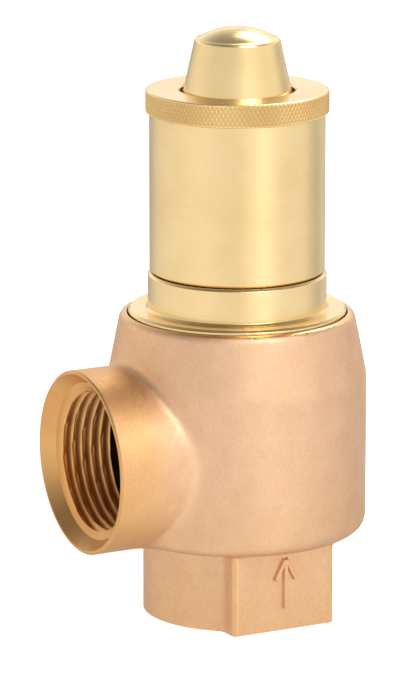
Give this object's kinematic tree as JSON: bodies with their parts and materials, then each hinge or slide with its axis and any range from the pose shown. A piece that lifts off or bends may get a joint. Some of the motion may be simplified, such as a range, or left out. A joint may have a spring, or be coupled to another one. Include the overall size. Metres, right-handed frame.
{
  "type": "pressure relief valve",
  "caption": "Angle-pattern bronze pressure relief valve with a female threaded inlet below, a side outlet, and a smooth brass twist-to-lift cap with a knurled rim and a conical knob.",
  "frame": {"origin": "middle of the whole valve's footprint, in the plane of the inlet face. The inlet and spindle axis is the vertical line x = +5.15 mm, y = 0, and the outlet axis is the line y = 0, z = 37.5 mm", "axes": "+Z along the spindle, from the inlet up to the knob; -X along the outlet, the way the flow leaves; the spanner flat with the arrow faces -Y"},
  "size_m": [0.0672, 0.057, 0.1305],
  "materials": {
    "cast_bronze": "blasted bronze casting, satin, machined bright in the ports",
    "turned_brass": "smooth turned brass, soft gloss",
    "stainless_steel": "turned stainless steel",
    "spring_steel": "drawn spring wire, satin",
    "black_rubber": "smooth moulded rubber",
    "white_plastic": "machined white plastic, satin",
    "gasket_fibre": "matt pressed fibre sheet"
  },
  "bodies": {
    "valve": {"valve_body": "cast_bronze", "seat_ring": "stainless_steel", "seat_o_ring": "black_rubber", "bonnet": "turned_brass", "bonnet_gasket": "gasket_fibre", "guide_bush": "white_plastic", "spindle_seal": "black_rubber", "cap_o_ring": "black_rubber", "turn_stop_pin": "stainless_steel", "pressure_spring": "spring_steel"},
    "lift_washer": {"thrust_washer": "white_plastic"},
    "cap": {"lifting_cap": "turned_brass"},
    "spindle_set": {"spindle": "stainless_steel", "disc_holder": "turned_brass", "disc_pin": "stainless_steel", "seal_disc": "black_rubber", "seal_retainer": "stainless_steel", "disc_screw": "stainless_steel", "lower_spring_plate": "turned_brass", "knob_jam_nut": "stainless_steel", "lifting_knob": "turned_brass"},
    "spring_plate": {"upper_spring_plate": "turned_brass"},
    "adjuster": {"adjusting_screw": "turned_brass", "lock_nut": "turned_brass"}
  },
  "joints": [
    {"name": "cap_rise", "type": "slide", "parent": "valve", "child": "lift_washer", "axis": [0, 0, 1], "range_m": [0, 0.002]},
    {"name": "cap_turn", "type": "hinge", "parent": "lift_washer", "child": "cap", "pos_m": [0.00515, 0, 0.094], "axis": [0, 0, 1], "range_deg": [0, 180]},
    {"name": "spindle_lift", "type": "slide", "parent": "lift_washer", "child": "spindle_set", "axis": [0, 0, 1], "range_m": [0, 0.003], "deforming": ["pressure_spring"]},
    {"name": "adjust_travel", "type": "slide", "parent": "valve", "child": "spring_plate", "axis": [0, 0, 1], "range_m": [-0.0015, 0.0015]},
    {"name": "adjust_turn", "type": "hinge", "parent": "spring_plate", "child": "adjuster", "pos_m": [0.00515, 0, 0.0995], "axis": [0, 0, 1], "range_deg": [-360, 360]}
  ],
  "couplings": [
    {"joint": "cap_rise", "follows": "cap_turn", "m_per_rad": 0.00063662},
    {"joint": "adjust_travel", "follows": "adjust_turn", "m_per_rad": 0.00023873}
  ]
}
